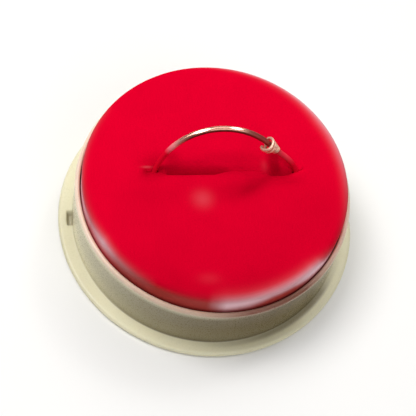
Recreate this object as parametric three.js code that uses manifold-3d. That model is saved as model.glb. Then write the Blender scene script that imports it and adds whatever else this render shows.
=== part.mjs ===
// A wire nose hoop standing in the slit of a velvet pad, in the base of a small round plastic box.
// Millimetres, +Z up. The origin is the centre of the underside, X runs along the slit.

import * as THREE from 'three';
import { mergeVertices } from 'three/addons/utils/BufferGeometryUtils.js';
import Module from 'manifold-3d';

// The pad sets the size of the box: the cup is the pad's radius plus a fitting clearance and a wall.
const PAD = {
  radius: 12.0,
  top: 8.35, // height of the flat face above the underside
  edge: 0.75, // rounding where the velvet turns over the foam's rim
  dome: 0.12, // rise of the face from rim to centre
  hem: 0.3, // chamfer at the bottom rim
};

const CUP = {
  clearance: 0.09, // round the pad
  wall: 0.45,
  lip: 6.25, // height of the rolled lip
  floor: 0.6,
  flangeWidth: 1.32, // from the wall's outside to the rim
  flangeHeight: 0.6,
  foot: 0.12, // fillet between wall and flange
};

// Places round the hoop are in degrees, 0 at +X and 90 at the top.
const HOOP = {
  radius: 6.11, // of the wire's centreline
  wire: 0.52, // diameter near the top
  thinWire: 0.42, // diameter below the pad's face
  thickest: 80,
  flare: 0.98, // how far the leg under the coil is bent outwards
  flareAt: 10,
  flareSpan: 35, // from its middle to where the circle is true again
  lean: THREE.MathUtils.degToRad(25), // from upright, towards +Y
  sunk: 1.52, // centre below the pad's face
  x: 0.31,
  y: 0.7, // where the hoop's plane meets the pad's face
};

// The coil closes the hoop: one end of the hoop is fixed in it, the other springs into its mouth.
const COIL = {
  mouth: 49.1,
  turns: 5,
  wire: 0.34, // diameter at the mouth
  endWire: 0.1, // diameter to which it is drawn at the end
  taper: 1.3, // 1 would be an even taper, and more thins it sooner
  mouthRadius: 0.62, // from the middle of the ring at the mouth to the middle of its wire
  openTurns: [0.9, 1.8], // from and to which turn the mouth closes in
  inset: 0.08, // how far the mouth lies inside the hoop's wire
  aside: 0.13, // how far it lies in front of it
  clearance: 0.02, // between the close turns and the hoop's wire
  pitch: 1.08, // of the turns, in diameters of their wire
  step: 0.14, // extra room between the mouth and the close turns
  jog: 0.72, // the share of a turn after which it steps down beside its start
  tilt: THREE.MathUtils.degToRad(12.6), // of the mouth
  tip: THREE.MathUtils.degToRad(114), // the side of the mouth that stands up, round the wire
  start: THREE.MathUtils.degToRad(150), // of the cut end, round the wire
  join: 43.5, // where the hoop's two ends meet
  endGap: 3, // between them
};

const SLIT = {
  left: -6.55,
  right: 7.8,
  width: 1.1,
  depth: 6.54, // from the hoop's centre to the bottom, along the lean
  reach: 4, // how far the cutting tool stands above the hoop's centre
};

// Two small moulded marks on the flange: a window at the wall's foot and a dent in the rim.
const WINDOW = { length: 1.3, width: 0.55 };
const DENT = { length: 1.1, width: 0.45, depth: 0.38 };

const FACETS = { lathe: 72, arc: 5, wireSides: 12, hoopSteps: 84, coilSides: 8, coilSteps: 20, slit: 24 };

const padBottom = CUP.floor + 0.05;
const wallInside = PAD.radius + CUP.clearance;
const wallOutside = wallInside + CUP.wall;
const flangeRadius = wallOutside + CUP.flangeWidth;

const ivory = new THREE.MeshStandardMaterial({ color: 0xd9d3ae, roughness: 0.35, metalness: 0 });
const crimson = new THREE.MeshStandardMaterial({ color: 0xdb0029, roughness: 0.95, metalness: 0 });
const gold = new THREE.MeshStandardMaterial({ color: 0xe9c2ad, roughness: 0.2, metalness: 1 });
const paleGold = new THREE.MeshStandardMaterial({ color: 0xf0d4bf, roughness: 0.25, metalness: 1 });

const wasm = await Module();
wasm.setup();

/** Keeps only the positions and welds the shared vertices, so that the mesh is closed. */
function welded(geometry) {
  const bare = geometry.clone();
  bare.deleteAttribute('normal');
  bare.deleteAttribute('uv');
  return mergeVertices(bare, 1e-5);
}

function toSolid(geometry) {
  const closed = welded(geometry);
  return new wasm.Manifold(new wasm.Mesh({
    numProp: 3,
    vertProperties: closed.attributes.position.array,
    triVerts: new Uint32Array(closed.index.array),
  }));
}

function toGeometry(solid) {
  const mesh = solid.getMesh();
  const geometry = new THREE.BufferGeometry();
  geometry.setAttribute('position', new THREE.BufferAttribute(mesh.vertProperties, 3));
  geometry.setIndex(new THREE.BufferAttribute(mesh.triVerts, 1));
  return geometry;
}

/** Points of an arc in a profile, from one angle to another, in degrees. */
function arc(x, y, radius, from, to, steps = FACETS.arc) {
  return Array.from({ length: steps + 1 }, (_, i) => {
    const angle = THREE.MathUtils.degToRad(from + ((to - from) * i) / steps);
    return [x + radius * Math.cos(angle), y + radius * Math.sin(angle)];
  });
}

/** Turns a profile of [radius, height] pairs round the Z axis. */
function turned(profile) {
  const points = profile.map(([radius, height]) => new THREE.Vector2(radius, height));
  return new THREE.LatheGeometry(points, FACETS.lathe).rotateX(Math.PI / 2);
}

/** Sweeps a round wire along a curve. widthAt gives its diameter at a point and parameter of the curve. */
function swept(curve, widthAt, sides, steps) {
  const frames = curve.computeFrenetFrames(steps);
  const centres = curve.getSpacedPoints(steps);
  const positions = [];
  const faces = [];
  centres.forEach((centre, i) => {
    const radius = widthAt(centre, curve.getUtoTmapping(i / steps)) / 2;
    for (let side = 0; side < sides; side++) {
      const angle = (2 * Math.PI * side) / sides;
      const point = centre.clone();
      point.addScaledVector(frames.normals[i], radius * Math.cos(angle));
      point.addScaledVector(frames.binormals[i], radius * Math.sin(angle));
      positions.push(point.x, point.y, point.z);
    }
  });
  for (let side = 0; side < sides; side++) {
    const next = (side + 1) % sides;
    for (let low = 0; low < steps * sides; low += sides) {
      const high = low + sides;
      faces.push(low + side, low + next, high + next, low + side, high + next, high + side);
    }
    if (side > 0 && next > 0) {
      const last = steps * sides;
      faces.push(0, next, side, last, last + side, last + next);
    }
  }
  const geometry = new THREE.BufferGeometry();
  geometry.setAttribute('position', new THREE.Float32BufferAttribute(positions, 3));
  geometry.setIndex(faces);
  return geometry;
}

/** The frame of the hoop: X along the slit, Y up along the lean, Z square to the hoop, at its centre. */
function place(object) {
  object.position.set(HOOP.x, HOOP.y - HOOP.sunk * Math.tan(HOOP.lean), PAD.top - HOOP.sunk);
  object.rotation.x = Math.PI / 2 - HOOP.lean;
  object.updateMatrix();
  return object;
}

/** Base of the box: floor, thin wall with a rolled lip, and the flange that the lid sits on. */
function makeCup() {
  const half = CUP.wall / 2;
  const rim = CUP.flangeHeight / 2;
  const body = turned([
    [0, 0],
    ...arc(flangeRadius - rim, rim, rim, -90, 90),
    ...arc(wallOutside + CUP.foot, CUP.flangeHeight + CUP.foot, CUP.foot, -90, -180, 2),
    ...arc(wallOutside - half, CUP.lip - half, half, 0, 180),
    [wallInside, CUP.floor],
    [0, CUP.floor],
  ]);
  const window = new THREE.BoxGeometry(WINDOW.width, WINDOW.length, 4 * CUP.flangeHeight);
  window.translate(-(wallOutside + CUP.foot + WINDOW.width / 2), 0, 0);
  const dent = new THREE.BoxGeometry(2 * DENT.width, DENT.length, 2 * DENT.depth);
  dent.translate(flangeRadius, 0, CUP.flangeHeight);
  return toGeometry(toSolid(body).subtract(toSolid(window)).subtract(toSolid(dent)));
}

/** Foam disc under velvet, with the slit that follows the hoop's lean and its round underside. */
function makePad() {
  const rim = PAD.radius - PAD.edge;
  const disc = turned([
    [0, padBottom],
    [PAD.radius - PAD.hem, padBottom],
    [PAD.radius, padBottom + PAD.hem],
    ...arc(rim, PAD.top - PAD.edge, PAD.edge, 0, 90),
    [0.55 * rim, PAD.top + 0.7 * PAD.dome],
    [0, PAD.top + PAD.dome],
  ]);
  const middle = (SLIT.left + SLIT.right) / 2 - HOOP.x;
  const half = (SLIT.right - SLIT.left) / 2;
  const outline = new THREE.Shape();
  outline.moveTo(middle - half, SLIT.reach);
  outline.lineTo(middle - half, 0);
  outline.absellipse(middle, 0, half, SLIT.depth, Math.PI, 2 * Math.PI);
  outline.lineTo(middle + half, SLIT.reach);
  const tool = new THREE.ExtrudeGeometry(outline, {
    depth: SLIT.width,
    bevelEnabled: false,
    curveSegments: FACETS.slit,
  });
  tool.translate(0, 0, -SLIT.width / 2);
  tool.applyMatrix4(place(new THREE.Object3D()).matrix);
  return toGeometry(toSolid(disc).subtract(toSolid(tool)));
}

/** The point at an angle round the hoop, moved outwards from the wire's middle and off its plane. */
function onHoop(degrees, outwards = 0, aside = 0, target = new THREE.Vector3()) {
  const turn = THREE.MathUtils.euclideanModulo(degrees - HOOP.flareAt + 180, 360) - 180;
  const share = Math.min(1, Math.abs(turn) / HOOP.flareSpan);
  const flare = HOOP.flare * Math.cos((Math.PI / 2) * share) ** 2;
  const reach = HOOP.radius + flare + outwards;
  const angle = THREE.MathUtils.degToRad(degrees);
  return target.set(reach * Math.cos(angle), reach * Math.sin(angle), aside);
}

/** The wire's diameter at an angle round the hoop: it swells over the top. */
function wireAt(degrees) {
  const top = Math.max(0, Math.cos(THREE.MathUtils.degToRad(degrees - HOOP.thickest)));
  return HOOP.thinWire + (HOOP.wire - HOOP.thinWire) * Math.sqrt(top);
}

/** The hoop's centreline, from its fixed end inside the coil, down through the pad and over the top. */
class RingCurve extends THREE.Curve {
  getPoint(u, target) {
    const start = COIL.join - COIL.endGap / 2;
    return onHoop(start - (360 - COIL.endGap) * u, 0, 0, target);
  }
}

/** The coil: flat rings, each of which steps down beside its start. The mouth is the widest and is tipped. */
class CoilCurve extends THREE.Curve {
  wireAt(u) {
    return COIL.endWire + (COIL.wire - COIL.endWire) * (1 - u) ** COIL.taper;
  }

  /** The radius of a close turn, which lies on the hoop's wire. */
  closeRadius(u) {
    return (wireAt(COIL.mouth) + this.wireAt(u)) / 2 + COIL.clearance;
  }

  /** The distance along the hoop from the mouth to a turn. */
  distanceTo(turn) {
    const whole = Math.floor(turn);
    const jogged = whole + THREE.MathUtils.smoothstep(turn - whole, COIL.jog, 1);
    const share = jogged / COIL.turns;
    const power = COIL.taper + 1;
    const drawn = ((COIL.wire - COIL.endWire) * (1 - (1 - share) ** power)) / power;
    const room = COIL.step * THREE.MathUtils.smoothstep(turn, COIL.jog, 1);
    return COIL.pitch * COIL.turns * (COIL.endWire * share + drawn) + room;
  }

  getPoint(u, target) {
    const turn = COIL.turns * u;
    const roll = COIL.start + 2 * Math.PI * turn;
    const open = 1 - THREE.MathUtils.smoothstep(turn, ...COIL.openTurns);
    const radius = this.closeRadius(u) + (COIL.mouthRadius - this.closeRadius(0)) * open;
    const raised = Math.tan(COIL.tilt) * radius * Math.cos(roll - COIL.tip) * open;
    const along = this.distanceTo(turn) - raised;
    const degrees = COIL.mouth - THREE.MathUtils.radToDeg(along / HOOP.radius);
    const outwards = radius * Math.cos(roll) - COIL.inset * open;
    return onHoop(degrees, outwards, COIL.aside * open - radius * Math.sin(roll), target);
  }
}

/** The open ring of wire, whose two ends meet inside the coil. */
function makeHoop() {
  const widthAt = (centre) => wireAt(THREE.MathUtils.radToDeg(Math.atan2(centre.y, centre.x)));
  return swept(new RingCurve(), widthAt, FACETS.wireSides, FACETS.hoopSteps);
}

function makeCoil() {
  const curve = new CoilCurve();
  const steps = COIL.turns * FACETS.coilSteps;
  return swept(curve, (centre, u) => curve.wireAt(u), FACETS.coilSides, steps);
}

function addMesh(parent, name, geometry, material) {
  const mesh = new THREE.Mesh(geometry, material);
  mesh.name = name;
  parent.add(mesh);
}

const nosePinBox = new THREE.Group();
addMesh(nosePinBox, 'cup', makeCup(), ivory);
addMesh(nosePinBox, 'velvet_pad', makePad(), crimson);

const nosePin = place(new THREE.Group());
addMesh(nosePin, 'hoop', makeHoop(), gold);
addMesh(nosePin, 'coil_collar', makeCoil(), paleGold);
nosePinBox.add(nosePin);

export default nosePinBox;
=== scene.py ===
"""A wire nose hoop in the slit of a velvet pad, in the base of a round box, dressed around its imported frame.

The hoop is polished gold wire, the pad is crimson velvet over foam, and the box base is moulded ivory
polystyrene. Lengths inside the mesh functions are millimetres, and every mesh is scaled to metres once.
"""

import math

import bpy
import numpy as np
from bpy.props import FloatProperty, FloatVectorProperty, IntProperty, PointerProperty
from mathutils import Matrix, Vector, noise


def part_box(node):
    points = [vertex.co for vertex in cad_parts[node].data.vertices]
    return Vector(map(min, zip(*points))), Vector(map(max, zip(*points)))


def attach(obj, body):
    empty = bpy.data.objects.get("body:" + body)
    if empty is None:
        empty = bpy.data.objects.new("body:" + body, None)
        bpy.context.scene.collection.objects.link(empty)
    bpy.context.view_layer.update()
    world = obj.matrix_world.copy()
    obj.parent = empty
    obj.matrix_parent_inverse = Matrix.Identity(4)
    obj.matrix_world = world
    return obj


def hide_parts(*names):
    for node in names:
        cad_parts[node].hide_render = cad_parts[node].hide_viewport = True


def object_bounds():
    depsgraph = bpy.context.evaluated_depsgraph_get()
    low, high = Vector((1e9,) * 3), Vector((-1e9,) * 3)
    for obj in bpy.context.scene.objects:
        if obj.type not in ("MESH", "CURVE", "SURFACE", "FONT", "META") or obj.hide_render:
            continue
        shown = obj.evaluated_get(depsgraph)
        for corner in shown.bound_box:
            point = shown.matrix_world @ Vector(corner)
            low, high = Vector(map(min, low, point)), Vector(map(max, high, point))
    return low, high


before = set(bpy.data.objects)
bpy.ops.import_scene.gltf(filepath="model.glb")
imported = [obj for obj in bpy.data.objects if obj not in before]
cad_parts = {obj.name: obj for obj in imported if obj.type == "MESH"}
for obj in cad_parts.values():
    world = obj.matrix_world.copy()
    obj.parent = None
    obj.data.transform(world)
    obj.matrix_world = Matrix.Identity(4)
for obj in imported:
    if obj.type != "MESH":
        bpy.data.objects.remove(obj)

bl_info = {
    "name": "Velvet nose pin box",
    "version": (1, 0, 0),
    "blender": (4, 5, 0),
    "location": "View3D > Sidebar > Nose pin",
    "description": "Builds a wire nose hoop on its velvet pad in a round box base",
    "category": "Add Mesh",
}

CAD_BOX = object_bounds()
MM = 0.001
ROOT = "root"

# The frame's own measures, in millimetres.
CUP_LOW, CUP_HIGH = (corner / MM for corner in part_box("cup"))
PAD_LOW, PAD_HIGH = (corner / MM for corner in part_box("velvet_pad"))


def linear(code):
    """An sRGB hex colour as the linear red, green and blue that the sockets hold."""
    channels = [int(code[i:i + 2], 16) / 255 for i in (0, 2, 4)]
    return [c / 12.92 if c <= 0.04045 else ((c + 0.055) / 1.055) ** 2.4 for c in channels]


def opaque(red_green_blue):
    """A plain colour as the four numbers that a colour socket holds."""
    return (*red_green_blue, 1)


def length(label, millimetres, description):
    """A length among the settings, in metres as Blender keeps it."""
    return FloatProperty(
        name=label, description=description, default=millimetres * MM, unit="LENGTH", precision=5
    )


def colour(label, code, description):
    """A colour among the settings, from its sRGB hex value."""
    return FloatVectorProperty(
        name=label, description=description, default=linear(code), subtype="COLOR", size=3, min=0, max=1
    )


def angle(label, degrees, description):
    """An angle among the settings, in radians as Blender keeps it."""
    return FloatProperty(
        name=label, description=description, default=math.radians(degrees), subtype="ANGLE"
    )


def power(label, watts, description):
    """The power of a light among the settings."""
    return FloatProperty(name=label, description=description, default=watts, min=0, unit="POWER")


def number(label, value, description):
    """A plain number among the settings."""
    return FloatProperty(name=label, description=description, default=value)


def count(label, value, description):
    """A whole number among the settings."""
    return IntProperty(name=label, description=description, default=value, min=2)


# ---------------------------------------------------------------- settings


class CupSettings(bpy.types.PropertyGroup):
    wall: length("Wall", 0.45, "Thickness of the cup's wall")
    floor: length("Floor", 0.6, "Thickness of the cup's floor")
    flange: length("Flange", 0.6, "Height of the flange")
    flange_width: length("Flange width", 1.3, "From the wall's outside to the rim")
    foot: length("Foot fillet", 0.15, "Rounding between wall and flange")
    window_length: length("Window length", 1.35, "Of the window at the wall's foot, on the left")
    window_width: length("Window width", 0.475, "From the wall's outside")
    window_depth: length("Window depth", 0.5, "Below the flange's top")
    # Painted shade in the window's recess and on the wall just above it.
    window_shade: number("Window shade", 0.55, "How dark it is there")
    shade_height: length("Shade height", 2.35, "How far up the wall the window's shade runs")
    dent_length: length("Dent length", 1.05, "Of the dent in the flange's rim, on the right")
    dent_width: length("Dent width", 0.55, "From the rim")
    dent_depth: length("Dent depth", 0.38, "Below the flange's top")
    segments: count("Segments", 432, "Steps round the cup")
    ivory: colour("Ivory", "F1EBCB", "The moulded plastic where it is thick")
    # Painted highlight: this colour makes the rolled lip's top lighter, where the light falls on it.
    lip: colour("Lip", "FFE6D0", "The rolled lip, rubbed bright")
    # Painted shade, darkest in front, together with the dark foam seen through the thin wall.
    shaded: colour("Shaded wall", "604C14", "The thin wall where the dark foam shows through")
    # Painted shade on the lip, with the velvet's red as a painted reflection.
    lip_shade: colour("Stained lip", "8F5A47", "The lip where the velvet's dye has rubbed off")
    cloudy: colour("Cloudy plastic", "B9AF86", "Multiplied in where the moulding is uneven")


class PadSettings(bpy.types.PropertyGroup):
    edge: length("Edge", 0.75, "Rounding where the velvet turns over the rim")
    dome: length("Dome", 0.12, "Rise of the face from rim to centre")
    slit_left: length("Slit's left end", -6.3, "X of the slit's left end")
    slit_right: length("Slit's right end", 7.8, "X of the slit's right end")
    slit_depth: length("Slit depth", 6.54, "From the hoop's centre to the slit's bottom")
    pocket: length("Pocket", 0.34, "Half the slit's width round the hoop, square to the lean")
    columns: count("Columns", 384, "Steps round the pad")
    slit_rows: count("Slit rows", 34, "Rows down into the slit")
    face_rows: count("Face rows", 100, "Rows from slit to rim")
    edge_rows: count("Edge rows", 14, "Rows over the rounded edge")
    side_rows: count("Side rows", 24, "Rows down the side")
    velvet: colour("Velvet", "E4002B", "Crimson pile seen from above")
    # Painted shade: in the slit, in the hollows, under the wire and the coil, and over the front half.
    crushed: colour("Crushed pile", "8E0012", "Pile pressed down, and the slit's inside")
    # Painted sheen along the rim's edge, and pale spots on the face.
    bloom: colour("Bloom", "F6CFD8", "Pile standing at the edge, where it catches the light")
    # Painted shade down the pad's side, darkest at the front.
    side: colour("Side", "A83A34", "The dull velvet of the rim")
    turned: colour("Turned pile", "B80020", "Pile that leans the other way")
    sheen: colour("Sheen", "FFC4CE", "Light that grazes the tips of the pile")


class HoopSettings(bpy.types.PropertyGroup):
    radius: length("Radius", 6.11, "Of the hoop's circle, to the middle of the wire")
    wire: length("Wire", 0.52, "Diameter near the top")
    thin_wire: length("Thin wire", 0.42, "Diameter below the pad's face")
    thickest: angle("Thickest at", 80, "Where the wire is thickest, from +X towards the top")
    flare: length("Flare", 0.98, "How far the leg under the coil is bent outwards")
    flare_at: angle("Flare at", 10, "Middle of the bent leg")
    flare_span: angle("Flare span", 35, "From its middle to where the circle is true again")
    lean: angle("Lean", 25, "From upright, towards +Y")
    sunk: length("Sunk", 1.52, "The hoop's centre below the pad's face")
    x: length("X", 0.31, "The hoop's centre along the slit")
    y: length("Y", 0.70, "Where the hoop's plane meets the pad's face")
    steps: count("Steps", 560, "Steps round the hoop")
    sides: count("Sides", 32, "Sides of the wire")
    gold: colour("Gold", "EDB09A", "Polished pale rose gold")
    # Painted shade: the wire's underside and parts of the hoop turned dark brown for dark reflections.
    dark_gold: colour("Tarnish", "702A25", "Dulled gold on the underside and near the coil")
    # Painted reflection of the velvet's red on the legs: pink where lit, deep red low down.
    lint: colour("Lint", "F4788A", "Loose fibres of the pile on the legs, which catch the light")
    deep_red_reflection: colour("Crushed lint", "E0062A", "Fibres pressed against the legs")


class CoilSettings(bpy.types.PropertyGroup):
    mouth: angle("Mouth", 49.1, "Where the coil opens, round the hoop")
    turns: count("Turns", 5, "Turns of the coil")
    steps: count("Steps", 96, "Steps in each turn")
    sides: count("Sides", 16, "Sides of the wire")
    wire: length("Wire", 0.34, "Diameter of the coil's wire at the mouth")
    end_wire: length("End wire", 0.1, "Diameter to which the wire is drawn at the end")
    taper: number("Taper", 1.3, "1 is even, more thins the wire sooner")
    open_turns: number("Open turns", 0.9, "Turns as wide as the mouth")
    closed_turns: number("Closed turns", 1.8, "Turns until the first close one")
    jog: number("Jog", 0.72, "Share of a turn after which it steps down")
    mouth_radius: length("Mouth radius", 0.62, "Middle of the ring at the mouth to the middle of its wire")
    inset: length("Inset", 0.08, "How far the mouth lies inside the hoop's wire")
    aside: length("Aside", 0.13, "How far the mouth lies in front of the hoop's wire")
    clearance: length("Clearance", 0.02, "Between the close turns and the hoop's wire")
    pitch: number("Pitch", 1.08, "Of the turns, in their wire's diameters")
    step: length("Step", 0.14, "Extra room between the mouth and the close turns")
    tilt: angle("Tilt", 12.6, "How far the mouth is tipped over")
    tip: angle("Tip", 114, "Which side of the mouth stands up, round the wire")
    start: angle("Start", 150, "Where the cut end lies round the wire, from the hoop's outside")
    join: angle("Join", 43.5, "Where the hoop's two ends meet, inside the coil")
    end_gap: angle("End gap", 3, "Between the hoop's two ends")
    # Painted highlight: a paler copy of the hoop's gold, so that the coil reads brighter.
    gold: colour("Gold", "FCCDB6", "Polished pale rose gold, rubbed bright")


class StageSettings(bpy.types.PropertyGroup):
    floor: colour("Floor", "F4F3F1", "Plain pale floor")
    low_light: number("Low light", 0.07, "Even light near the horizon")
    high_light: number("High light", 0.47, "Even light overhead")
    key_power: power("Key", 1.2, "Soft light on the left")
    back_power: power("Back", 0.42, "Wide light behind")
    fill_power: power("Fill", 0.42, "Soft light in front")
    spark_power: power("Spark", 0.2, "Small light behind")
    distance: length("Camera distance", 120, "From the point where the camera looks")
    lens: FloatProperty(name="Lens", description="Focal length", default=114.4, unit="CAMERA")
    azimuth: angle("Azimuth", -17.9, "Camera's side, 0 from the front")
    elevation: angle("Elevation", 61.2, "Camera above the horizon")
    roll: angle("Roll", 15.35, "Camera turned about its own axis")
    aim_x: length("Aim X", -0.48, "From the middle of the box to where the camera looks")
    aim_y: length("Aim Y", -1.24, "From the middle of the box to where the camera looks")
    aim_z: length("Aim Z", 4.8, "Height of the point where the camera looks")


SETTINGS = {
    "nosepin_cup": CupSettings,
    "nosepin_pad": PadSettings,
    "nosepin_hoop": HoopSettings,
    "nosepin_coil": CoilSettings,
    "nosepin_stage": StageSettings,
}

# The stage's lights: name, degrees round from +X, degrees above the horizon, and size in metres.
LIGHTS = (("key", 148, 62, 0.2), ("back", 74, 50, 0.3), ("fill", 296, 46, 0.3), ("spark", 48, 50, 0.08))
# How far the lights hang from the box, and how far the floor reaches each way, in metres.
LIGHT_DISTANCE = 0.45
FLOOR_REACH = 1.5


# ---------------------------------------------------------------- wear, marks and painted light

# Degrees round the box run from +X towards +Y, and on past 360. Those round the hoop run from +X towards its
# top.

# Painted shade on the face: a little all over, more on the front half, in the hollows and under the wire.
# x and y, half length and half width in millimetres, turn in degrees, and amount.
SHADE_MARKS = (
    (0.0, 0.0, 30.0, 30.0, 0, 0.09),
    (0.0, -9.0, 14.0, 6.5, 0, 0.22),
    (8.5, -4.0, 4.5, 5.0, 0, 0.08),
    (9.3, -2.8, 2.6, 2.6, 0, 0.10),
    (0.0, 2.2, 3.6, 0.8, 0, 0.07),
    (-5.7, -9.5, 4.2, 1.4, -30, 0.12),
    (3.2, -9.8, 2.6, 1.2, 15, 0.09),
    (0.0, -11.4, 6.5, 1.6, 0, 0.16),
    (-4.0, -1.8, 3.5, 1.2, 0, 0.06),
    (-6.0, -1.6, 2.5, 1.2, 0, 0.07),
    (3.0, -1.15, 1.6, 0.60, 32, 0.28),
    (4.6, -0.1, 0.9, 0.45, 30, 0.18),
    (2.0, -1.2, 2.6, 1.1, 14, 0.26),
    (6.2, -0.45, 1.5, 0.5, 0, 0.18),
    (2.6, 1.7, 1.6, 1.1, 0, 0.08),
    (-5.8, 1.35, 1.2, 1.0, 0, 0.34),
    (-3.9, 1.7, 0.9, 0.8, 0, 0.24),
    (-4.0, 2.1, 0.7, 0.5, 0, 0.22),
    (-6.3, 0.45, 0.50, 0.40, 20, 0.40),
    (-6.1, -0.1, 1.1, 0.5, 0, 0.13),
)
# The same for flatter marks of painted shade, along the slit and beside the coil.
FLAT_SHADE_MARKS = (
    (-2.1, 0.62, 2.65, 0.48, 0, 0.25),
    (1.2, 0.75, 1.6, 0.40, -2, 0.16),
    (-5.2, 0.60, 0.7, 0.6, 0, 0.16),
    (5.75, 0.38, 1.15, 0.65, 0, 0.16),
    (5.35, 1.80, 0.50, 1.3, 0, 0.44),
)
# The same for pale marks: pale spots, and painted highlights on the slit's lip and the pit's edge.
PALE = (
    (-1.5, -2.25, 0.80, 0.80, 0, 0.055),
    (-1.5, -9.9, 0.9, 0.5, 0, 0.015),
    (4.35, 1.1, 0.3, 0.5, 0, 0.02),
    (-6.25, 1.02, 0.42, 0.10, 0, 0.06),
)
# The slit's lips: x, y of the front lip, and y of the back lip, in millimetres.
SLIT_LIPS = (
    (-6.3, 0.60, 0.64), (-5.3, 0.56, 0.62), (-4.8, 0.36, 0.42), (-4.4, 0.22, 0.28), (-0.2, 0.24, 0.30),
    (0.7, 0.48, 0.52), (1.3, 0.60, 0.63), (3.2, 0.64, 0.67), (4.1, 0.48, 0.52), (4.8, 0.14, 0.20),
    (5.7, 0.08, 0.14), (6.5, 0.16, 0.24), (7.0, 0.44, 0.52), (7.45, 0.62, 0.70), (7.8, 0.70, 0.75),
)
# Where the legs push the lips apart: x, half the length, and y of the front and back lip there.
LEG_OPENINGS = ((-5.57, 0.265, 0.46, 0.94), (7.175, 0.24, 0.46, 0.94))
# The hollows behind the slit: x, y that the hollow reaches back to, and depth, in millimetres.
LEFT_HOLLOW = ((-4.6, 1.75, 0.45), (-0.8, 1.75, 0.45), (0.3, 1.2, 0.30), (1.6, 0.8, 0.06))
RIGHT_HOLLOW = ((4.8, 2.9, 0.34), (5.9, 2.6, 0.34), (7.1, 1.2, 0.25), (7.4, 0.95, 0.15))
# Where the two hollows and the back lip's dip fade in and out again: x in millimetres.
LEFT_ENDS = (-4.75, -4.2, 0.9, 1.6)
RIGHT_ENDS = (4.35, 5.15, 7.2, 7.5)
LIP_ENDS = (-6.3, -5.6, 7.4, 7.8)
# The back lip's dip and the front lip's: depth, and spread from the lip. The low roll in front of the slit:
# height, how far off it lies, and its spread. All in millimetres.
BACK_DIP = (0.08, 0.5)
FRONT_DIP = (0.10, 0.22)
FRONT_ROLL = (0.06, 0.5, 0.35)
# The pit at the slit's left end: x, y, spread along x, spread along y, and depth, in millimetres.
PIT = (-6.2, 0.6, 0.32, 0.25, 0.15)
# Waves of the foam under the velvet: height and spacing in millimetres.
WAVES = ((0.035, 3.1), (0.012, 0.9))
# Painted sheen along the rim: degrees, distance over the edge, spread inwards and spread outwards in
# millimetres, and amount.
RIM_SHEEN = (
    (140, 0.9, 0.5, 0.8, 0.0), (170, 1.5, 0.6, 1.2, 0.30),
    (180, 1.7, 0.6, 1.2, 0.60), (190, 2.1, 0.8, 1.4, 0.66),
    (200, 1.4, 0.55, 1.3, 0.40), (210, 1.15, 0.5, 1.1, 0.74),
    (220, 1.1, 0.45, 0.9, 0.24), (230, 1.1, 0.5, 0.8, 0.09),
    (240, 1.1, 0.6, 0.8, 0.0), (262, 1.3, 0.7, 0.9, 0.03),
    (266, 1.4, 0.75, 1.0, 0.35), (270, 1.45, 0.75, 1.1, 0.92),
    (280, 1.2, 0.65, 0.95, 0.80), (290, 0.9, 0.55, 0.5, 0.56),
    (300, 0.9, 0.55, 0.5, 0.62), (310, 1.05, 0.60, 1.1, 0.95),
    (315, 1.2, 0.60, 1.2, 0.92), (319, 1.9, 0.8, 1.0, 0.74),
    (326, 2.1, 0.8, 1.2, 0.14), (350, 0.85, 0.6, 0.6, 0.09),
    (360, 0.75, 0.60, 0.45, 0.18), (370, 0.75, 0.62, 0.40, 0.32),
    (380, 0.75, 0.62, 0.40, 0.42), (390, 0.75, 0.60, 0.40, 0.56),
    (400, 0.75, 0.50, 0.40, 0.68), (430, 0.80, 0.40, 0.45, 0.70),
    (442, 0.80, 0.35, 0.40, 0.48), (450, 0.80, 0.30, 0.40, 0.12),
    (462, 0.80, 0.30, 0.40, 0.0),
)
# Painted shade down the pad's side, darkest at the front: degrees, amount.
SIDE_SHADE = (
    (150, 0.8), (190, 0.45), (212, 0.5), (222, 1.0), (265, 1.0), (312, 1.0), (322, 0.6), (330, 0.2),
    (345, 0.1), (400, 0.3),
)
# Painted shade on the flange, shadow in front: degrees, amount beside the wall's foot, and amount all over.
FLANGE_SHADE = (
    (165, 0.0, 0.0), (180, 0.1, 0.1), (190, 0.14, 0.14), (200, 0.12, 0.12), (212, 0.09, 0.09),
    (232, 0.0, 0.0), (265, 0.0, 0.0), (280, 0.3, 0.0), (290, 0.55, 0.0), (300, 0.6, 0.0),
    (315, 0.75, 0.0), (322, 0.7, 0.0), (330, 0.25, 0.0), (345, 0.0, 0.0),
)
# Painted shade on the lip, with the velvet's red as a painted reflection: degrees, amount.
LIP_DARKENING = (
    (150, 0.0), (205, 0.02), (225, 0.25), (245, 0.40), (260, 0.48), (270, 0.72), (280, 1.0), (306, 1.0),
    (325, 0.3), (345, 0.1),
)
# Painted shade, and the dark foam seen through the thin wall, on the cup's wall: degrees, amount.
WALL_SHADE = (
    (130, 0.28), (180, 0.18), (190, 0.26), (200, 0.36), (220, 0.56), (240, 0.78), (260, 0.92), (290, 1.0),
    (312, 1.0), (322, 0.75), (332, 0.4), (345, 0.2), (400, 0.25), (450, 0.28),
)
# How much of that shade is left at the wall's foot, the degrees where none is, and their spread.
WALL_FOOT = (0.85, 190, 22)
# Where the hoop's wire was tapped flat: degrees round the hoop, depth as a share of the wire's radius, and
# how much the facet looks outwards, 1 being straight out from the hoop.
TAPPED = ((109, 0.14, 0.86), (80, 0.12, 0.91))
# How far each way round the hoop such a facet can reach, in degrees.
TAP_REACH = 9
# Painted dark reflections along the wire's outside: degrees round the hoop, amount.
DARK_REFLECTIONS = (
    (45, 0.8), (56, 0.8), (64, 0.78), (70, 0.66), (75, 0.24), (80, 0.0), (88, 0.10), (95, 0.12),
    (100, 0.04), (106, 0.0), (117, 0.04), (122, 0.16), (130, 0.08), (136, 0.0),
)
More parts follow.
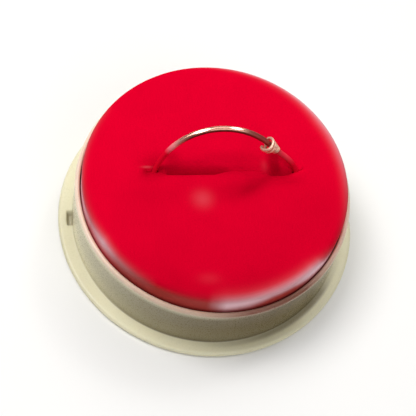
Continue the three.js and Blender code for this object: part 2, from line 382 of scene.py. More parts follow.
# Painted reflection of the velvet's red on the legs: degrees round the hoop, how much, and how dark.
LEG_REFLECTION = (
    (20, 1.0, 1.0), (25, 1.0, 0.90), (29, 1.0, 0.82), (33, 1.0, 0.85), (36, 0.8, 0.8), (39, 0.3, 1.0),
    (45, 0.25, 1.0), (60, 0.22, 1.0), (68, 0.1, 1.0), (74, 0.0, 1.0), (120, 0.0, 0.0), (130, 0.35, 0.0),
    (136, 0.75, 0.05), (139, 0.9, 0.25), (141, 1.0, 0.65), (144, 1.0, 1.0),
)


def smoothstep(low, high, value):
    """Turns smoothly from 0 at low to 1 at high. Low may be the higher of the two."""
    share = np.clip((value - low) / (high - low), 0, 1)
    return share * share * (3 - 2 * share)


def bell(value, centre, spread):
    """1 at the centre, falling to a third one spread away from it."""
    return np.exp(-(((value - centre) / spread) ** 2))


def fade(value, start, full, still_full, stop):
    """1 from full to still_full, and 0 before start and after stop."""
    return smoothstep(start, full, value) * smoothstep(stop, still_full, value)


def from_table(table, column, places, period=None):
    """A column of a table at any places. With a period of 360 the places are angles that go round."""
    return np.interp(places, [row[0] for row in table], [row[column] for row in table], period=period)


def slit_lips(x):
    """The front and back lip's lines, and how far the hoop's legs push each of them aside."""
    front, back = (from_table(SLIT_LIPS, column, x) for column in (1, 2))
    pushed_front, pushed_back = np.zeros_like(x), np.zeros_like(x)
    for centre, reach, leg_front, leg_back in LEG_OPENINGS:
        beside = smoothstep(reach + 0.035, reach - 0.035, np.abs(x - centre))
        pushed_front += (leg_front - front) * beside
        pushed_back += (leg_back - back) * beside
    return front, back, pushed_front, pushed_back


def soft_marks(marks, x, y, power=2):
    """The sum of soft oval marks at points of the face. A higher power makes them flatter and squarer."""
    total = np.zeros_like(x)
    for mark_x, mark_y, long, short, turn, amount in marks:
        cos, sin = math.cos(math.radians(turn)), math.sin(math.radians(turn))
        along = ((x - mark_x) * cos + (y - mark_y) * sin) / long
        across = ((y - mark_y) * cos - (x - mark_x) * sin) / short
        total += amount * np.exp(-(np.abs(along) ** power + np.abs(across) ** power))
    return total


# ---------------------------------------------------------------- meshes


def ripple(points, scale, seed):
    """Smooth noise from -1 to 1 at points in millimetres, with features about scale millimetres apart."""
    offset = Vector((seed * 17.3, seed * 5.1, seed * 9.7))
    flat = points.reshape(-1, 3)
    values = [noise.noise(Vector(p) / scale + offset) for p in flat]
    return np.array(values).reshape(points.shape[:-1])


def skin(name, rings, start="fan", end="fan"):
    """A smooth closed mesh through rings of points in millimetres.

    A fan closes an end to its middle, and a zip joins the two halves of a flat ring.
    """
    count, around = rings.shape[:2]
    points = list(rings.reshape(-1, 3) * MM)
    faces = []
    for row in range(count - 1):
        for step in range(around):
            after = (step + 1) % around
            low, high = row * around, (row + 1) * around
            faces.append((low + step, low + after, high + after, high + step))
    for way, row in ((start, 0), (end, count - 1)):
        loop = [row * around + step for step in range(around)]
        if row:
            loop.reverse()
        if way == "fan":
            points.append(rings[row].mean(axis=0) * MM)
            hub = len(points) - 1
            faces += [(loop[step], hub, loop[(step + 1) % around]) for step in range(around)]
        else:
            half = around // 2
            for step in range(1, half - 1):
                faces.append((loop[step + 1], loop[step], loop[-step], loop[-step - 1]))
            faces.append((loop[1], loop[0], loop[-1]))
            faces.append((loop[half], loop[half - 1], loop[half + 1]))
    mesh = bpy.data.meshes.new(name)
    mesh.from_pydata([tuple(p) for p in points], [], faces)
    mesh.polygons.foreach_set("use_smooth", [True] * len(mesh.polygons))
    mesh.update()
    piece = bpy.data.objects.new(name, mesh)
    bpy.context.scene.collection.objects.link(piece)
    return piece


def points_of(piece):
    """The piece's vertices, in millimetres."""
    flat = np.zeros(len(piece.data.vertices) * 3)
    piece.data.vertices.foreach_get("co", flat)
    return flat.reshape(-1, 3) / MM


def mark(piece, name, values):
    """Stores a value from 0 to 1 at each vertex, for the piece's material to read."""
    attribute = piece.data.attributes.new(name, "FLOAT", "POINT")
    attribute.data.foreach_set("value", np.clip(values, 0, 1).astype(np.float32))


def dress(piece, material, slot, *nodes):
    """Gives the piece its material, hides the frame's parts that it stands for, and hangs it on the root."""
    piece.data.materials.append(material)
    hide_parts(*nodes)
    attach(piece, ROOT)


def arc(x, y, radius, start, stop, steps):
    """Points of an arc in a profile, from one angle to another, in degrees."""
    angles = np.radians(np.linspace(start, stop, steps + 1))
    return [(x + radius * math.cos(a), y + radius * math.sin(a)) for a in angles]


def turned(profile, segments):
    """Rings of a profile of (radius, height) turned round Z."""
    angles = np.linspace(0, 2 * math.pi, segments, endpoint=False)
    radii = np.array([p[0] for p in profile])[:, None]
    heights = np.array([p[1] for p in profile])[:, None]
    flat = np.ones_like(angles)
    return np.stack([radii * np.cos(angles), radii * np.sin(angles), heights * flat], axis=-1)


# ---------------------------------------------------------------- materials

# The Mix node's sockets for colours: its factor, the first and second colour, and the mixed one.
FACTOR, FIRST, SECOND, MIXED = 0, 6, 7, 2


def add_node(tree, kind, settings=None, links=None):
    """Adds a shader node, sets its properties or unlinked sockets, and links its sockets."""
    made = tree.nodes.new("ShaderNode" + kind)
    for key, value in (settings or {}).items():
        if isinstance(key, str) and hasattr(made, key):
            setattr(made, key, value)
        else:
            made.inputs[key].default_value = value
    for key, source in (links or {}).items():
        tree.links.new(source, made.inputs[key])
    return made


def new_material(name):
    """An empty node material, with its tree, and its position in millimetres for patterns."""
    material = bpy.data.materials.new(name)
    material.use_nodes = True
    tree = material.node_tree
    tree.nodes.clear()
    place = add_node(tree, "TexCoord").outputs["Object"]
    scaled = add_node(tree, "VectorMath", {"operation": "SCALE", "Scale": 1 / MM}, {0: place})
    return material, tree, scaled.outputs[0]


def polystyrene(cup):
    """Injection-moulded ivory polystyrene: glossy and a little uneven, with painted shade and highlight."""
    material, tree, place = new_material("moulded_ivory_polystyrene")
    # The three marks are painted light: shade on the wall and flange with the foam seen through the wall, a
    # highlight on the lip, and shade on the lip with the velvet's red as a reflection.
    shade, bright, stain = (
        add_node(tree, "Attribute", {"attribute_name": label}).outputs["Fac"]
        for label in ("shade", "bright", "stain")
    )
    body = add_node(
        tree, "Mix", {"data_type": "RGBA", FIRST: opaque(cup.ivory), SECOND: opaque(cup.shaded)},
        {FACTOR: shade},
    )
    for amount, tone in ((bright, cup.lip), (stain, cup.lip_shade)):
        body = add_node(
            tree, "Mix", {"data_type": "RGBA", SECOND: opaque(tone)},
            {FACTOR: amount, FIRST: body.outputs[MIXED]},
        )
    # The plastic is a little thicker and thinner in clouds about 3 mm wide.
    clouds = add_node(tree, "TexNoise", {"Scale": 0.35, "Detail": 2.0}, {"Vector": place})
    tint = add_node(tree, "MapRange", {"To Min": 0.0, "To Max": 0.16}, {"Value": clouds.outputs[0]})
    body = add_node(
        tree, "Mix", {"data_type": "RGBA", "blend_type": "MULTIPLY", SECOND: opaque(cup.cloudy)},
        {FACTOR: tint.outputs[0], FIRST: body.outputs[MIXED]},
    )
    # Sink and flow marks of the moulding are 1 to 3 mm wide, and the wear of handling is fine.
    flow = add_node(tree, "TexNoise", {"Scale": 0.6, "Detail": 3.0, "Distortion": 0.8}, {"Vector": place})
    wear = add_node(tree, "TexNoise", {"Scale": 9.0, "Detail": 2.0}, {"Vector": place})
    rough = add_node(
        tree, "MapRange", {"From Min": 0.3, "From Max": 0.75, "To Min": 0.22, "To Max": 0.42},
        {"Value": wear.outputs[0]},
    )
    bump = add_node(
        tree, "Bump", {"Strength": 0.35, "Distance": 0.08 * MM}, {"Height": flow.outputs[0]}
    )
    shader = add_node(
        tree, "BsdfPrincipled",
        {"IOR": 1.59, "Specular IOR Level": 0.32, "Subsurface Weight": 0.15, "Subsurface Scale": 1.0,
         "Subsurface Radius": (0.6 * MM, 0.5 * MM, 0.3 * MM)},
        {"Base Color": body.outputs[MIXED], "Roughness": rough.outputs[0], "Normal": bump.outputs[0]},
    )
    add_node(tree, "OutputMaterial", None, {"Surface": shader.outputs[0]})
    return material


def velvet(pad):
    """Short-pile velvet glued over foam, deep crimson and matt, with painted shade and painted sheen."""
    material, tree, place = new_material("crimson_pile_velvet")
    crushed, bloom, side = (
        add_node(tree, "Attribute", {"attribute_name": label}).outputs["Fac"]
        for label in ("crushed", "bloom", "side")
    )
    # The lie of the pile changes every few millimetres.
    lie = add_node(tree, "TexNoise", {"Scale": 0.28, "Detail": 3.0, "Distortion": 0.6}, {"Vector": place})
    shift = add_node(
        tree, "MapRange", {"From Min": 0.3, "From Max": 0.7, "To Min": 0.0, "To Max": 0.16},
        {"Value": lie.outputs[0]},
    )
    body = add_node(
        tree, "Mix", {"data_type": "RGBA", FIRST: opaque(pad.velvet), SECOND: opaque(pad.turned)},
        {FACTOR: shift.outputs[0]},
    )
    # Painted shade, painted shade on the side, and painted sheen with pale spots.
    for amount, tone in ((crushed, pad.crushed), (side, pad.side), (bloom, pad.bloom)):
        body = add_node(
            tree, "Mix", {"data_type": "RGBA", SECOND: opaque(tone)},
            {FACTOR: amount, FIRST: body.outputs[MIXED]},
        )
    # Tufts of pile are about 0.12 mm apart.
    tufts = add_node(tree, "TexNoise", {"Scale": 8.0, "Detail": 2.0}, {"Vector": place})
    bump = add_node(
        tree, "Bump", {"Strength": 0.5, "Distance": 0.06 * MM}, {"Height": tufts.outputs[0]}
    )
    shader = add_node(
        tree, "BsdfPrincipled",
        {"Roughness": 1.0, "Specular IOR Level": 0.0, "Sheen Weight": 0.06, "Sheen Roughness": 0.3,
         "Sheen Tint": opaque(pad.sheen)},
        {"Base Color": body.outputs[MIXED], "Normal": bump.outputs[0]},
    )
    add_node(tree, "OutputMaterial", None, {"Surface": shader.outputs[0]})
    return material


def drawn_gold(name, gold, roughness):
    """Pale gold wire, drawn and polished: mirror-bright on top, and painted dark brown below as shade.

    Its legs, where it stands in the slit, are painted with the velvet's red as a painted reflection.
    """
    material, tree, place = new_material(name)
    hoop = bpy.context.scene.nosepin_hoop
    # The first mark is painted shade and dark reflection; the second is the velvet's red, painted on the legs
    # as a reflection.
    dull, lint = (
        add_node(tree, "Attribute", {"attribute_name": label}).outputs["Fac"] for label in ("dull", "lint")
    )
    # Grime lies in patches a few tenths of a millimetre wide.
    grime = add_node(tree, "TexNoise", {"Scale": 2.5, "Detail": 3.0}, {"Vector": place})
    patchy = add_node(tree, "Math", {"operation": "MULTIPLY_ADD", 1: 0.25, 2: -0.12}, {0: grime.outputs[0]})
    darkening = add_node(
        tree, "Math", {"operation": "ADD", "use_clamp": True}, {0: dull, 1: patchy.outputs[0]}
    )
    metal = add_node(
        tree, "Mix", {"data_type": "RGBA", FIRST: opaque(gold), SECOND: opaque(hoop.dark_gold)},
        {FACTOR: darkening.outputs[0]},
    )
    rough = add_node(
        tree, "MapRange", {"To Min": roughness, "To Max": roughness + 0.35}, {"Value": darkening.outputs[0]}
    )
    # Small dents of the die and the pliers are under 0.2 mm apart.
    dents = add_node(tree, "TexNoise", {"Scale": 6.0, "Detail": 2.0}, {"Vector": place})
    bump = add_node(
        tree, "Bump", {"Strength": 0.25, "Distance": 0.02 * MM}, {"Height": dents.outputs[0]}
    )
    # Where the velvet's red is painted on the legs as a reflection, the wire is neither metallic nor smooth.
    # There, the dark value says how deep the painted red is.
    reflected_reds = add_node(
        tree, "Mix", {"data_type": "RGBA", FIRST: opaque(hoop.lint), SECOND: opaque(hoop.deep_red_reflection)},
        {FACTOR: dull},
    )
    reddened = add_node(
        tree, "Mix", {"data_type": "RGBA"},
        {FACTOR: lint, FIRST: metal.outputs[MIXED], SECOND: reflected_reds.outputs[MIXED]},
    )
    metallic = add_node(tree, "Math", {"operation": "SUBTRACT", 0: 1.0}, {1: lint})
    matt = add_node(tree, "Math", {"operation": "MAXIMUM"}, {0: rough.outputs[0], 1: lint})
    shader = add_node(
        tree, "BsdfPrincipled",
        {"Specular IOR Level": 0.0},
        {"Base Color": reddened.outputs[MIXED], "Metallic": metallic.outputs[0],
         "Roughness": matt.outputs[0], "Normal": bump.outputs[0]},
    )
    add_node(tree, "OutputMaterial", None, {"Surface": shader.outputs[0]})
    return material


# ---------------------------------------------------------------- the hoop's own frame


def face_height():
    """Height of the pad's flat face, in millimetres."""
    pad = bpy.context.scene.nosepin_pad
    return PAD_HIGH.z - pad.dome / MM


class Lean:
    """The plane of the hoop: across along X, up along the lean, and off square to it."""

    def __init__(self):
        hoop = bpy.context.scene.nosepin_hoop
        self.tangent = math.tan(hoop.lean)
        self.up = np.array([0, math.sin(hoop.lean), math.cos(hoop.lean)])
        self.off = np.array([0, -math.cos(hoop.lean), math.sin(hoop.lean)])
        sunk = hoop.sunk / MM
        self.centre = np.array([hoop.x / MM, hoop.y / MM - sunk * self.tangent, face_height() - sunk])

    def point(self, across, up, off=0):
        """Points in the part's frame, so far across, up and off from the hoop's centre."""
        across, up, off = (np.asarray(v, dtype=float)[..., None] for v in (across, up, off))
        return self.centre + across * np.array([1.0, 0, 0]) + up * self.up + off * self.off


def ring_reach(hoop, angles):
    """The hoop's radius at angles round it: a circle with one leg bent outwards."""
    turn = (angles - hoop.flare_at + math.pi) % (2 * math.pi) - math.pi
    share = np.minimum(1, np.abs(turn) / hoop.flare_span)
    return hoop.radius / MM + hoop.flare / MM * np.cos(math.pi / 2 * share) ** 2


def wire_width(hoop, angles):
    """The wire's diameter at angles round the hoop: it swells over the top."""
    top = np.maximum(0, np.cos(angles - hoop.thickest))
    return hoop.thin_wire / MM + (hoop.wire - hoop.thin_wire) / MM * np.sqrt(top)


def swept(path, radii, sides):
    """Rings of a round wire along a path, square to it."""
    tangents = np.gradient(path, axis=0)
    tangents /= np.linalg.norm(tangents, axis=1)[:, None]
    rings = []
    across = np.cross(tangents[0], (0.0, 0.0, 1.0))
    rolls = np.linspace(0, 2 * math.pi, sides, endpoint=False)
    for point, tangent, radius in zip(path, tangents, radii):
        across = across - tangent * (across @ tangent)
        across /= np.linalg.norm(across)
        other = np.cross(tangent, across)
        rings.append(point + radius * (np.outer(np.cos(rolls), across) + np.outer(np.sin(rolls), other)))
    return np.array(rings)


def rounded_ends(radii, spacing):
    """Shrinks the first and last radii so that a wire ends in a half round."""
    radii = radii.copy()
    for order in (1, -1):
        side = radii[::order]
        reach = side[0]
        for row in range(len(side)):
            left = reach - row * spacing
            if left <= 0:
                break
            side[row] = max(0.04 * reach, math.sqrt(max(0.0, reach * reach - left * left)))
    return radii


# ---------------------------------------------------------------- operators


class NOSEPIN_OT_cup(bpy.types.Operator):
    """Turns the ivory box base: floor, thin wall with a rolled lip, and flange"""

    bl_idname = "nosepin.cup"
    bl_label = "Box base"

    def execute(self, context):
        cup = context.scene.nosepin_cup
        wall, floor, flange = cup.wall / MM, cup.floor / MM, cup.flange / MM
        brim = CUP_HIGH.x
        outside = brim - cup.flange_width / MM
        inside = outside - wall
        foot = cup.foot / MM
        rim = flange / 2
        half = wall / 2
        profile = [
            (brim * 0.5, 0),
            (brim - rim - 0.4, 0),
            *arc(brim - rim, rim, rim, -90, 90, 16),
            *[(r, flange) for r in np.linspace(brim - rim, outside + foot, 9)[1:-1]],
            *arc(outside + foot, flange + foot, foot, -90, -180, 6),
            *[(outside, h) for h in np.linspace(flange + foot + 0.3, CUP_HIGH.z - half - 0.1, 14)],
            *arc(outside - half, CUP_HIGH.z - half, half, 0, 180, 14),
            (inside, CUP_HIGH.z - 1.5),
            (inside, floor + 0.1),
            (inside - 0.1, floor),
            (inside * 0.5, floor),
        ]
        rings = turned(profile, cup.segments)
        self.sink(cup, rings, outside)
        piece = skin("box_base", rings)

        points = points_of(piece)
        height = points[:, 2]
        degrees = np.degrees(np.arctan2(points[:, 1], points[:, 0]))
        radius = np.hypot(points[:, 0], points[:, 1])
        outer_side = radius > outside - half
        # Painted shade and the dark foam seen through the wall: less at its foot, least of all on the
        # left, and near the top only where the lip is painted dark.
        lip_shade = from_table(LIP_DARKENING, 1, degrees, 360)
        band = smoothstep(outside + 0.14, outside + 0.05, radius) * (height > flange)
        amount, gone, spread = WALL_FOOT
        least = amount * (1 - bell(degrees % 360, gone, spread))
        fading = least + (1 - least) * smoothstep(flange + 0.2, flange + 3.2, height)
        fading *= 1 - (1 - lip_shade) * smoothstep(CUP_HIGH.z - 1.0, CUP_HIGH.z - 0.4, height)
        shade = band * fading * from_table(WALL_SHADE, 1, degrees, 360) * outer_side
        # Painted shade in the window's recess runs a little way up the wall.
        at_window = smoothstep(3.7, 2.7, 180 - np.abs(degrees)) * outer_side
        at_window *= radius < outside + cup.window_width / MM
        top = cup.shade_height / MM
        shade += cup.window_shade * at_window * smoothstep(top + 0.25, top - 0.25, height)
        # Painted shadow of the cup beside the wall's foot, and painted shade over the flange on the left.
        beside, all_over = (from_table(FLANGE_SHADE, column, degrees, 360) for column in (1, 2))
        beside *= smoothstep(outside + 0.75, outside + 0.35, radius)
        on_flange = np.maximum(beside, all_over) * outer_side * (height < flange + 0.2)
        mark(piece, "shade", np.minimum(1, np.maximum(shade, on_flange)))
        # Painted highlight on the rolled lip.
        lip = smoothstep(CUP_HIGH.z - 0.38, CUP_HIGH.z - 0.2, height)
        mark(piece, "bright", lip)
        # Painted shade on the lip, more on its outside, with the velvet's red as a painted reflection.
        outwards = 0.65 + 0.35 * smoothstep(inside + 0.1, outside - 0.1, radius)
        mark(piece, "stain", lip * outwards * lip_shade)
        dress(piece, polystyrene(cup), "ivory_plastic", "cup")
        return {"FINISHED"}

    def sink(self, cup, rings, outside):
        """Sinks the flange at the window by the wall's foot and at the dent in the rim across from it."""
        x, y, z = (rings[..., axis] for axis in range(3))
        radius = np.hypot(x, y)
        end, reach = cup.window_length / MM / 2, outside + cup.window_width / MM
        window = (x < 0) * smoothstep(end + 0.075, end - 0.075, np.abs(y))
        window *= smoothstep(reach + 0.075, reach - 0.075, radius)
        end, reach = cup.dent_length / MM / 2, CUP_HIGH.x - cup.dent_width / MM
        dent = (x > 0) * smoothstep(end + 0.175, end - 0.175, np.abs(y))
        dent *= smoothstep(reach - 0.1, reach + 0.1, radius)
        deepest = cup.window_depth / MM
        sunk = np.minimum(deepest, deepest * window + cup.dent_depth / MM * dent)
        sunk *= (z > 0.1) * (radius > outside - 0.02) * (z < cup.flange / MM + 0.32)
        rings[..., 2] = np.where(sunk > 0, np.maximum(z - sunk, 0.04), z)


class NOSEPIN_OT_pad(bpy.types.Operator):
    """Models the velvet pad with its slit, lips and rounded edge"""

    bl_idname = "nosepin.pad"
    bl_label = "Velvet pad"

    def hollows(self, x, y):
        """How far the face sinks behind the slit: on the left, on the right, and all along the lip."""
        back = slit_lips(x)[1]
        reach, depth = (from_table(LEFT_HOLLOW, column, x) for column in (1, 2))
        on_left = depth * np.clip((reach - y) / (reach - back), 0, 1) ** 1.4 * fade(x, *LEFT_ENDS)
        reach, depth = (from_table(RIGHT_HOLLOW, column, x) for column in (1, 2))
        on_right = depth * smoothstep(0, 0.9, reach - y) * fade(x, *RIGHT_ENDS)
        depth, spread = BACK_DIP
        along_lip = depth * bell(np.maximum(0, y - back), 0, spread) * fade(x, *LIP_ENDS)
        return on_left, on_right, along_lip

    def flat_rings(self, pad, middle, half):
        """Rings up the slit, across a flat face, over the edge, down the side and in across the bottom."""
        lean = Lean()
        face = face_height()
        radius, edge = PAD_HIGH.x, pad.edge / MM
        hoop_y = bpy.context.scene.nosepin_hoop.y / MM
        turn = np.linspace(0, 2 * math.pi, pad.columns, endpoint=False)
        slit_x = middle + half * np.cos(turn)
        # Minus 1 on the slit's front, 1 on its back, and turning over at its ends.
        ends = np.tanh(6 * np.sin(turn))
        front, back, pushed_front, pushed_back = slit_lips(slit_x)
        line_y = (front + back) / 2 + (back - front) / 2 * ends
        pushed = (pushed_front + pushed_back) / 2 + (pushed_back - pushed_front) / 2 * ends
        rim = (radius - edge) * np.stack([np.cos(turn), np.sin(turn)], axis=-1)
        lips = np.stack([slit_x, line_y], axis=-1)

        rows = []
        depth = pad.slit_depth / MM
        bottom, top = -depth * 0.995, (face - lean.centre[2]) / lean.up[2]
        pocket = pad.pocket / MM / lean.up[2]
        for share in np.linspace(0, 1, pad.slit_rows)[:-1]:
            up = bottom + (top - bottom) * share
            narrow = math.sqrt(1 - min(0, up / depth) ** 2) if up < 0 else 1.0
            below = (top - up) * lean.up[2]
            wall = line_y + pushed - hoop_y
            wall += (pocket * ends * min(1, 4 * share + 0.3) - wall) * smoothstep(0.1, 1.5, below)
            rows.append(np.column_stack([
                middle + half * narrow * np.cos(turn),
                hoop_y - below * lean.tangent + wall,
                np.full(pad.columns, face - below),
            ]))
        for share in np.linspace(0, 1, pad.face_rows) ** 1.5:
            flat = lips + (rim - lips) * [share**1.8, share]
            flat[:, 1] += pushed * max(0, 1 - 3.75 * share) ** 2
            rows.append(np.column_stack([flat, np.full(pad.columns, face)]))
        outer = [
            *arc(radius - edge, face - edge, edge, 90, 0, pad.edge_rows)[1:],
            *[(radius, h) for h in np.linspace(face - edge, PAD_LOW.z + 0.3, pad.side_rows)[1:]],
            (radius - 0.3, PAD_LOW.z),
            (radius * 0.6, PAD_LOW.z),
        ]
        return np.array(rows + list(turned(outer, pad.columns)))

    def lift(self, pad, area, middle, half):
        """How far the face stands up at its points: dome, waves, hollows, the front lip and the pit."""
        x, y = area[..., 0], area[..., 1]
        far = np.hypot(x, y) / PAD_HIGH.x
        front, back = slit_lips(x)[:2]
        beyond = np.maximum(0, np.abs(x - middle) - half)
        gap = np.hypot(beyond, np.maximum(0, np.maximum(front - y, y - back)))
        behind = smoothstep(-0.05, 0.05, y - (front + back) / 2) * (beyond == 0)
        height = pad.dome / MM * (1 - np.minimum(1, far) ** 2)
        for seed, (size, spacing) in enumerate(WAVES, start=1):
            height += size * ripple(area, spacing, seed)
        height -= behind * sum(self.hollows(x, y))
        depth, spread = FRONT_DIP
        size, off, reach = FRONT_ROLL
        roll = size * bell(gap, off, reach) * smoothstep(0, 0.8, half - np.abs(x - middle))
        height += (1 - behind) * (roll - depth * bell(gap, 0, spread))
        pit_x, pit_y, along, across, depth = PIT
        height -= depth * bell(x, pit_x, along) * bell(y, pit_y, across)
        return height * smoothstep(1.02, 0.9, far)

    def execute(self, context):
        pad = context.scene.nosepin_pad
        face = face_height()
        left, right = pad.slit_left / MM, pad.slit_right / MM
        middle, half = (left + right) / 2, (right - left) / 2
        rings = self.flat_rings(pad, middle, half)
        lip_row = pad.slit_rows - 1
        rim_row = lip_row + pad.face_rows - 1
        area = rings[lip_row:rim_row + 1 + pad.edge_rows]
        area[..., 2] += self.lift(pad, area, middle, half)
        area[..., 2] = np.minimum(area[..., 2], PAD_HIGH.z)
        # The slit's walls start where the lips have sunk to.
        lips_sunk = area[0, :, 2] - face
        for row in range(lip_row):
            rings[row, :, 2] += lips_sunk * (row / lip_row) ** 4

        piece = skin("velvet_cushion", rings, start="zip")
        points = points_of(piece)
        x, y, z = points.T
        degrees = np.degrees(np.arctan2(y, x))
        in_slit = np.arange(len(points)) < lip_row * pad.columns
        # How far a point lies past the rim, along the surface. The last point closes the bottom.
        over = np.concatenate([[0], np.linalg.norm(np.diff(rings[:, 0], axis=0), axis=1)]).cumsum()
        over -= over[rim_row]
        over = np.append(np.repeat(over, pad.columns), over[-1])
        near_rim = over > -4
        on_left, on_right, along_lip = self.hollows(x, y)
        front, back = slit_lips(x)[:2]
        # Painted shade in the hollows behind the slit, as deep as they sink.
        sunk = (y > (front + back) / 2) * (0.8 * on_left + 0.5 * on_right + 0.8 * along_lip)
        shadowed = (soft_marks(SHADE_MARKS, x, y) + soft_marks(FLAT_SHADE_MARKS, x, y, 4) + sunk) * (z > face - 1.2)
        # Painted shade in the slit, darker the deeper it goes.
        deep = 0.45 + 0.55 * smoothstep(0, 1.5, face - z)
        mark(piece, "crushed", np.where(in_slit, deep, shadowed))
        # Painted sheen along the rim's edge, and pale spots on the face.
        distance, inwards, outwards, amount = (
            from_table(RIM_SHEEN, column, degrees, 360) for column in (1, 2, 3, 4)
        )
        past = over - distance
        sheening = amount * bell(past, 0, np.where(past < 0, inwards, outwards))
        mark(piece, "bloom", np.where(in_slit, 0, soft_marks(PALE, x, y)) + sheening * near_rim)
        # Painted shade down the pad's side.
        dull = from_table(SIDE_SHADE, 1, degrees, 360)
        mark(piece, "side", smoothstep(0.5, 1.3, over) * near_rim * dull)
        dress(piece, velvet(pad), "velvet", "velvet_pad")
        return {"FINISHED"}


class NOSEPIN_OT_hoop(bpy.types.Operator):
    """Bends the open hoop of polished wire, whose ends meet inside the coil"""

    bl_idname = "nosepin.hoop"
    bl_label = "Hoop"

    def execute(self, context):
        hoop, coil = context.scene.nosepin_hoop, context.scene.nosepin_coil
        lean = Lean()
        start = coil.join - coil.end_gap / 2
        angles = np.linspace(start, start + coil.end_gap - 2 * math.pi, hoop.steps)
        degrees = np.degrees(angles) % 360
        reach = ring_reach(hoop, angles)
        path = lean.point(reach * np.cos(angles), reach * np.sin(angles))
        outwards = lean.point(np.cos(angles), np.sin(angles)) - lean.centre
        spacing = 2 * math.pi * hoop.radius / MM / hoop.steps
        radii = rounded_ends(wire_width(hoop, angles) / 2, spacing)
        rings = swept(path, radii, hoop.sides)
        # Each tap of the pliers left a small flat facet, facing up and a little forwards.
        for where, depth, outward in TAPPED:
            row = np.abs(degrees - where).argmin()
            facing = outward * outwards[row] + math.sqrt(1 - outward**2) * lean.off
            beyond = (rings - path[row]) @ facing - radii[row] * (1 - depth)
            near = np.abs(degrees - where)[:, None] < TAP_REACH
            rings -= (np.maximum(0, beyond) * near)[..., None] * facing
        piece = skin("gold_hoop", rings)
        # Painted shade on the wire's inner side, and painted dark reflections on parts of its outside.
        inner = np.einsum("rsk,rk->rs", rings - path[:, None], -outwards) / radii[:, None]
        dimmed = from_table(DARK_REFLECTIONS, 1, degrees)[:, None]
        thick, flat = (from_table(LEG_REFLECTION, column, degrees, 360)[:, None] for column in (1, 2))
        dull = np.maximum(dimmed, smoothstep(-0.6, 0.1, inner))
        # On the legs the painted reflection of the velvet's red takes over, and sets how deep a red it is.
        dull += (flat - dull) * np.minimum(1, 1.5 * thick)
        # The two last points close the wire's ends, inside the coil.
        mark(piece, "dull", np.append(dull, (1, 1)))
        mark(piece, "lint", np.append(np.broadcast_to(thick, inner.shape), (0, 0)))
        gold = drawn_gold("polished_pale_gold_wire", hoop.gold, 0.2)
        dress(piece, gold, "gold_wire", "hoop")
        return {"FINISHED"}


class NOSEPIN_OT_coil(bpy.types.Operator):
    """Winds the coil that closes the hoop, open at its mouth"""

    bl_idname = "nosepin.coil"
    bl_label = "Coil"

    def execute(self, context):
        hoop, coil = context.scene.nosepin_hoop, context.scene.nosepin_coil
        lean = Lean()
        turns = np.linspace(0, coil.turns, coil.steps * coil.turns)
        end, wire = coil.end_wire / MM, coil.wire / MM
        width = end + (wire - end) * (1 - turns / coil.turns) ** coil.taper
        # Every turn is a flat ring that steps down beside its start. The mouth is wider than the others.
        jogged = smoothstep(coil.jog, 1, turns % 1)
        left = 1 - (np.floor(turns) + jogged) / coil.turns
        opening = 1 - smoothstep(coil.open_turns, coil.closed_turns, turns)
        close = wire_width(hoop, coil.mouth) / 2 + width / 2 + coil.clearance / MM
        radius = close + (coil.mouth_radius / MM - close[0]) * opening
        roll = coil.start + 2 * math.pi * turns
        power = coil.taper + 1
        along = coil.pitch * coil.turns * (end * (1 - left) + (wire - end) * (1 - left**power) / power)
        along += coil.step / MM * smoothstep(coil.jog, 1, turns)
        along -= math.tan(coil.tilt) * radius * np.cos(roll - coil.tip) * opening
        angles = coil.mouth - along / (hoop.radius / MM)
        reach = ring_reach(hoop, angles) + radius * np.cos(roll) - coil.inset / MM * opening
        off = coil.aside / MM * opening - radius * np.sin(roll)
        path = lean.point(reach * np.cos(angles), reach * np.sin(angles), off)
        spacing = np.linalg.norm(np.diff(path, axis=0), axis=1).mean()
        radii = rounded_ends(width / 2, spacing)
        piece = skin("coil_catch", swept(path, radii, coil.sides))
        for name in ("dull", "lint"):
            mark(piece, name, np.zeros(len(piece.data.vertices)))
        gold = drawn_gold("polished_pale_gold_coil", coil.gold, 0.5)
        dress(piece, gold, "coil_wire", "coil_collar")
        return {"FINISHED"}


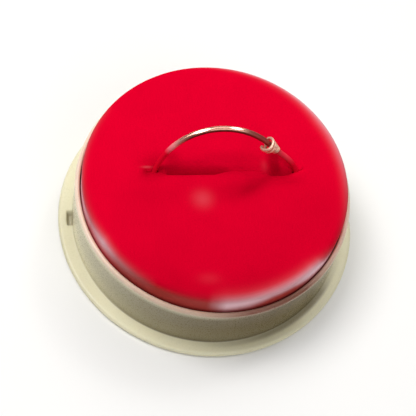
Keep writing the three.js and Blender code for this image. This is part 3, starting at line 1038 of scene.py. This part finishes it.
class NOSEPIN_OT_stage(bpy.types.Operator):
    """Sets the pale floor, the soft lights and the camera"""

    bl_idname = "nosepin.stage"
    bl_label = "Stage"

    def add_light(self, name, azimuth, elevation, size, power, target):
        """Hangs a square soft light that looks at the target."""
        light = bpy.data.lights.new(name, "AREA")
        light.size = size
        light.energy = power
        lamp = bpy.data.objects.new(name, light)
        side, height = math.radians(azimuth), math.radians(elevation)
        flat = math.cos(height)
        away = Vector((math.cos(side) * flat, math.sin(side) * flat, math.sin(height)))
        lamp.location = target + away * LIGHT_DISTANCE
        lamp.rotation_mode = "QUATERNION"
        lamp.rotation_quaternion = away.to_track_quat("Z", "Y")
        bpy.context.scene.collection.objects.link(lamp)

    def add_camera(self, stage, target):
        """Sets the camera at its distance and angles from the target."""
        camera = bpy.data.cameras.new("camera")
        camera.sensor_width = 36
        camera.lens = stage.lens
        camera.clip_start, camera.clip_end = 0.005, 10
        eye = bpy.data.objects.new("camera", camera)
        flat = math.cos(stage.elevation)
        back = Vector((
            math.sin(stage.azimuth) * flat, -math.cos(stage.azimuth) * flat, math.sin(stage.elevation)
        ))
        right = Vector((0, 0, 1)).cross(back).normalized()
        up = back.cross(right)
        across = right * math.cos(stage.roll) + up * math.sin(stage.roll)
        above = up * math.cos(stage.roll) - right * math.sin(stage.roll)
        turn = Matrix((across, above, back)).transposed().to_4x4()
        eye.matrix_world = Matrix.Translation(target + back * stage.distance) @ turn
        bpy.context.scene.collection.objects.link(eye)
        bpy.context.scene.camera = eye

    def execute(self, context):
        scene, stage = context.scene, context.scene.nosepin_stage
        middle = (CAD_BOX[0] + CAD_BOX[1]) / 2
        self.add_camera(stage, Vector((middle.x + stage.aim_x, middle.y + stage.aim_y, stage.aim_z)))
        for name, azimuth, elevation, size in LIGHTS:
            self.add_light(name, azimuth, elevation, size, getattr(stage, name + "_power"), middle)

        mesh = bpy.data.meshes.new("floor")
        signs = ((-1, -1), (1, -1), (1, 1), (-1, 1))
        corners = [(x * FLOOR_REACH, y * FLOOR_REACH, 0) for x, y in signs]
        mesh.from_pydata(corners, [], [(0, 1, 2, 3)])
        floor = bpy.data.objects.new("floor", mesh)
        scene.collection.objects.link(floor)
        material = bpy.data.materials.new("painted_pale_board")
        material.use_nodes = True
        shader = material.node_tree.nodes["Principled BSDF"]
        shader.inputs["Base Color"].default_value = opaque(stage.floor)
        shader.inputs["Roughness"].default_value = 0.9
        shader.inputs["Specular IOR Level"].default_value = 0.1
        mesh.materials.append(material)

        world = bpy.data.worlds.new("studio")
        world.use_nodes = True
        tree = world.node_tree
        direction = add_node(tree, "TexCoord").outputs["Generated"]
        height = add_node(tree, "SeparateXYZ", None, {0: direction}).outputs["Z"]
        glow = add_node(
            tree, "MapRange",
            {"interpolation_type": "SMOOTHSTEP", "From Min": 0.35, "From Max": 0.95,
             "To Min": stage.low_light, "To Max": stage.high_light},
            {"Value": height},
        )
        tree.links.new(glow.outputs[0], tree.nodes["Background"].inputs["Strength"])
        tree.nodes["Background"].inputs["Color"].default_value = (1, 1, 1, 1)
        scene.world = world
        scene.view_settings.view_transform = "Standard"
        return {"FINISHED"}


OPERATORS = (NOSEPIN_OT_stage, NOSEPIN_OT_cup, NOSEPIN_OT_pad, NOSEPIN_OT_hoop, NOSEPIN_OT_coil)


class NOSEPIN_PT_panel(bpy.types.Panel):
    """Lists the pieces and their settings"""

    bl_idname = "NOSEPIN_PT_panel"
    bl_label = "Nose pin"
    bl_space_type = "VIEW_3D"
    bl_region_type = "UI"
    bl_category = "Nose pin"

    def draw(self, context):
        for kind in OPERATORS:
            self.layout.operator(kind.bl_idname)
        for name, group in SETTINGS.items():
            box = self.layout.box()
            for field in group.__annotations__:
                box.prop(getattr(context.scene, name), field)


def register():
    for group in SETTINGS.values():
        bpy.utils.register_class(group)
    for kind in (*OPERATORS, NOSEPIN_PT_panel):
        bpy.utils.register_class(kind)
    for name, group in SETTINGS.items():
        setattr(bpy.types.Scene, name, PointerProperty(type=group))


def unregister():
    for name in SETTINGS:
        delattr(bpy.types.Scene, name)
    for kind in (NOSEPIN_PT_panel, *reversed(OPERATORS)):
        bpy.utils.unregister_class(kind)
    for group in reversed(SETTINGS.values()):
        bpy.utils.unregister_class(group)


def main():
    register()
    bpy.ops.nosepin.stage()
    bpy.ops.nosepin.cup()
    bpy.ops.nosepin.pad()
    bpy.ops.nosepin.hoop()
    bpy.ops.nosepin.coil()


if __name__ == "__main__":
    main()
